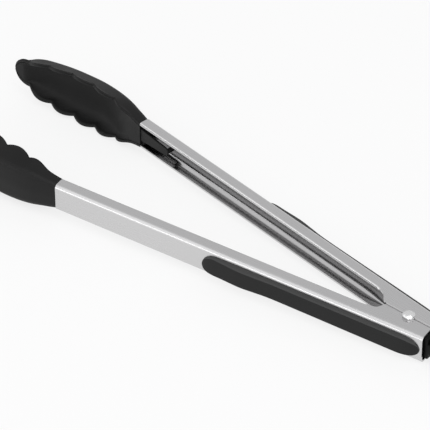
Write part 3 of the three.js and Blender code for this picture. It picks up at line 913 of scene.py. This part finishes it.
def soft_rubber(name, dark, light, ior):
    """Soft grip material: dull, with a fine grain."""
    material, tree, shader = new_material(name, IOR=ior, Sheen_Weight=0.02, Sheen_Roughness=0.5)
    place = tree.nodes.new("ShaderNodeTexCoord").outputs["Object"]
    grain = noise(tree, place, 3600.0, 2.0, 0.6)
    cloud = noise(tree, place, 45.0, 2.0)
    tint(tree, shader, cloud, grey(dark), grey(light))
    tree.links.new(remap(tree, cloud, 0.58, 0.68), shader.inputs["Roughness"])
    bump(tree, shader, grain, 0.3, 0.00006)
    return material


def slider_plastic():
    """Smooth black plastic with a fine grain."""
    material, tree, shader = new_material("slider_plastic", IOR=1.2)
    place = tree.nodes.new("ShaderNodeTexCoord").outputs["Object"]
    cloud = noise(tree, place, 120.0, 2.0)
    tint(tree, shader, cloud, grey(0.0015), grey(0.0025))
    tree.links.new(remap(tree, cloud, 0.36, 0.46), shader.inputs["Roughness"])
    bump(tree, shader, noise(tree, place, 2000.0), 0.15, 0.00006)
    return material


# ---- assembly ----------------------------------------------------------------------------------------------


def fit(obj, material, body, node):
    """Gives a piece its material, unless it has its own, and its body, and hides its CAD node."""
    if material:
        obj.data.materials.clear()
        obj.data.materials.append(material)
    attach(obj, body)
    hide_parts(node)


def spring_leg(side, material):
    """One leg of the spring, a wire from the coil to the arm that it presses on."""
    points = leg_points(side)
    leg = wire(f"{side}_spring_leg", points, WIRE_RADIUS)
    leg.data.materials.append(material)
    pivot_to_world((0, 0, 0))
    pivot_to_world((points[-1][0], 0, 0))
    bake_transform(leg)


def build_tongs():
    outside = brushed_steel("brushed_steel", (0.60, 0.597, 0.60), 0.27, 0.004)
    # darker copy of the outer steel for the sheet's inner face: painted shade inside the channel
    inside = brushed_steel("inner_steel_painted_shade", (0.39, 0.387, 0.39), 0.18, 0.004)
    nylon = moulded_nylon()
    pad_face = soft_rubber("soft_rubber", 0.0065, 0.0095, 1.3)
    # glossier rubber for the chamfer and sides, several times lighter than the face: painted light on the
    # sides that face up
    pad_edge_painted_light = soft_rubber("smooth_rubber_painted_light", 0.026, 0.032, 1.4)
    wire_look, black = wire_steel(), slider_plastic()
    for side in SIDES:
        body = f"{side}_side"
        fit(arm(side, outside, inside), None, body, f"{side}_arm")
        fit(head(side), nylon, body, f"{side}_head")
        fit(grip(side, pad_face, pad_edge_painted_light), None, body, f"{side}_grip")
        spring_leg(side, wire_look)
    fit(rivet(), polished_steel(), "pivot", "pivot_rivet")
    fit(bush(), black, "pivot", "spring_bush")
    fit(spring(), wire_look, "pivot", "torsion_spring")
    fit(slider(), black, "slider", "lock_slider")


# ---- floor, light and camera -------------------------------------------------------------------------------

FLOOR_TILT = math.radians(1.4)      # the tongs rest on their heads and on the rivet's lower head
FLOOR_GLOW = 0.78
FLOOR_HALF_SIZE = 6.0               # metres
FLOOR_GAP = 0.0001                  # metres
WORLD_COLOUR = (0.70, 0.70, 0.705, 1)
# name, place and size in metres, and power in watts
AREA_LIGHTS = (
    ("low_strip", (-0.95, -1.6, 0.24), (2.6, 0.5), 7.0),
    ("side_panel", (-1.1, -1.1, 1.25), (2.4, 1.4), 5.5),
    ("top", (1.2, -0.8, 2.2), (2.6, 2.6), 50),
)
CAMERA_YAW = math.radians(-40.5)
CAMERA_PITCH = math.radians(39.06)
CAMERA_DISTANCE = 1.547
CAMERA_AIM = (-124.8, 5.3, 0.0)     # mm from the pivot
LENS = 261.75


def floor():
    """Glowing white table under the tongs, tilted as they lie."""
    slope = math.tan(FLOOR_TILT)
    nodes = frame["nodes"].values()
    lowest = min(v.co.z - v.co.x * slope for node in nodes for v in node.data.vertices)
    size = FLOOR_HALF_SIZE
    corners = [(-size, -size), (size, -size), (size, size), (-size, size)]
    mesh = bpy.data.meshes.new("floor")
    mesh.from_pydata([(x, y, x * slope + lowest - FLOOR_GAP) for x, y in corners], [], [(0, 1, 2, 3)])
    obj = link("floor", mesh)
    material, _, shader = new_material(
        "light_table", Base_Color=(0.15, 0.15, 0.15, 1), Roughness=0.9,
        Emission_Color=(1, 1, 1, 1), Emission_Strength=FLOOR_GLOW,
    )
    shader.inputs["Specular IOR Level"].default_value = 0.1
    mesh.materials.append(material)


def area_light(name, place, size, power):
    """Rectangular lamp that faces the origin."""
    data = bpy.data.lights.new(name, "AREA")
    data.shape = "RECTANGLE"
    data.size, data.size_y = size
    data.energy = power
    obj = bpy.data.objects.new(name, data)
    obj.location = place
    obj.rotation_euler = (-Vector(place)).to_track_quat("-Z", "Y").to_euler()
    bpy.context.scene.collection.objects.link(obj)


def lights():
    """Even grey surroundings and the three area lights."""
    world = bpy.data.worlds.new("studio")
    world.use_nodes = True
    world.node_tree.nodes["Background"].inputs["Color"].default_value = WORLD_COLOUR
    world.node_tree.nodes["Background"].inputs["Strength"].default_value = 1.0
    bpy.context.scene.world = world
    for name, place, size, power in AREA_LIGHTS:
        area_light(name, place, size, power)


def camera():
    """Long lens from above and to the right, aimed at the middle of the tongs."""
    forward = Vector((
        math.sin(CAMERA_YAW) * math.cos(CAMERA_PITCH),
        math.cos(CAMERA_YAW) * math.cos(CAMERA_PITCH),
        -math.sin(CAMERA_PITCH),
    ))
    data = bpy.data.cameras.new("camera")
    data.sensor_width = 36
    data.lens = LENS
    data.clip_end = 50
    obj = bpy.data.objects.new("camera", data)
    obj.location = pivot_to_world(CAMERA_AIM) - forward * CAMERA_DISTANCE
    obj.rotation_euler = forward.to_track_quat("-Z", "Y").to_euler()
    bpy.context.scene.collection.objects.link(obj)
    bpy.context.scene.camera = obj


camera()
build_tongs()
floor()
lights()
bpy.context.scene.view_settings.view_transform = "Standard"
